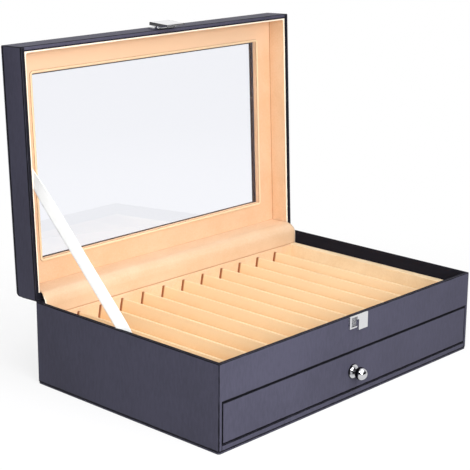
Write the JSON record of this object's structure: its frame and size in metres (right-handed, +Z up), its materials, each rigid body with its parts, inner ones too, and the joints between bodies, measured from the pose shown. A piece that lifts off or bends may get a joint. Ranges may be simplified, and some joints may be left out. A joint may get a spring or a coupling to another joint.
{
  "type": "pen collector chest",
  "caption": "Leatherette-covered display chest with a lined tray of pen slots, a drawer below it, a glazed lift-up lid held by a ribbon and a sprung catch.",
  "frame": {"origin": "middle of the chest's underside, on the surface it stands on", "axes": "+X to the right, +Y to the back where the lid is hinged, +Z up; the drawer and catch face -Y"},
  "size_m": [0.34, 0.2728, 0.3042],
  "materials": {
    "leatherette": "fine-grained grey leatherette over board",
    "board": "dark stained board",
    "lining": "smooth cream lining cloth over board",
    "drawer_lining": "smooth cream lining cloth over board",
    "hinge_cloth": "cream lining cloth",
    "ribbon": "white satin ribbon",
    "chrome": "polished chrome plate",
    "steel": "plain steel",
    "glass": "clear float glass"
  },
  "bodies": {
    "chest": {"back_panel": "leatherette", "base_board": "leatherette", "bay_floor": "leatherette", "front_fascia": "leatherette", "hinge_batten": "board", "hinge_cloth": "hinge_cloth", "hinge_leather": "leatherette", "left_side": "leatherette", "ribbon_stay": "ribbon", "right_side": "leatherette", "shelf": "board", "striker_plate": "chrome", "tray_divider_01": "lining", "tray_divider_02": "lining", "tray_divider_03": "lining", "tray_divider_04": "lining", "tray_divider_05": "lining", "tray_divider_06": "lining", "tray_divider_07": "lining", "tray_divider_08": "lining", "tray_divider_09": "lining", "tray_divider_10": "lining", "tray_divider_11": "lining", "tray_floor": "lining", "tray_front_wall": "lining", "tray_left_wall": "lining", "tray_rear_wall": "lining", "tray_right_wall": "lining"},
    "lid": {"glass_pane": "glass", "inner_frame": "lining", "latch_base": "chrome", "latch_pin": "chrome", "latch_screws": "steel", "latch_spring": "steel", "lid_front_wall": "leatherette", "lid_left_wall": "leatherette", "lid_lining": "lining", "lid_rear_wall": "leatherette", "lid_right_wall": "leatherette", "window_frame": "leatherette"},
    "lever": {"latch_lever": "chrome"},
    "drawer": {"drawer_back": "drawer_lining", "drawer_divider_01": "lining", "drawer_divider_02": "lining", "drawer_divider_03": "lining", "drawer_divider_04": "lining", "drawer_divider_05": "lining", "drawer_divider_06": "lining", "drawer_divider_07": "lining", "drawer_divider_08": "lining", "drawer_divider_09": "lining", "drawer_divider_10": "lining", "drawer_divider_11": "lining", "drawer_floor": "drawer_lining", "drawer_front": "leatherette", "drawer_left_side": "drawer_lining", "drawer_right_side": "drawer_lining", "knob_ball": "chrome", "knob_rose": "chrome", "knob_screw": "steel"}
  },
  "joints": [
    {"name": "lid_hinge", "type": "hinge", "parent": "chest", "child": "lid", "pos_m": [0, 0.111, 0.0763], "axis": [1, 0, 0], "range_deg": [0, 92.4], "deforming": ["hinge_cloth", "hinge_leather", "ribbon_stay"]},
    {"name": "drawer_slide", "type": "slide", "parent": "chest", "child": "drawer", "axis": [0, -1, 0], "range_m": [0, 0.15]},
    {"name": "lever_pivot", "type": "hinge", "parent": "lid", "child": "lever", "pos_m": [0.002, 0.12227, 0.29972], "axis": [-1, 0, 0], "range_deg": [0, 10], "stiffness_Nm_per_rad": 0.002}
  ]
}
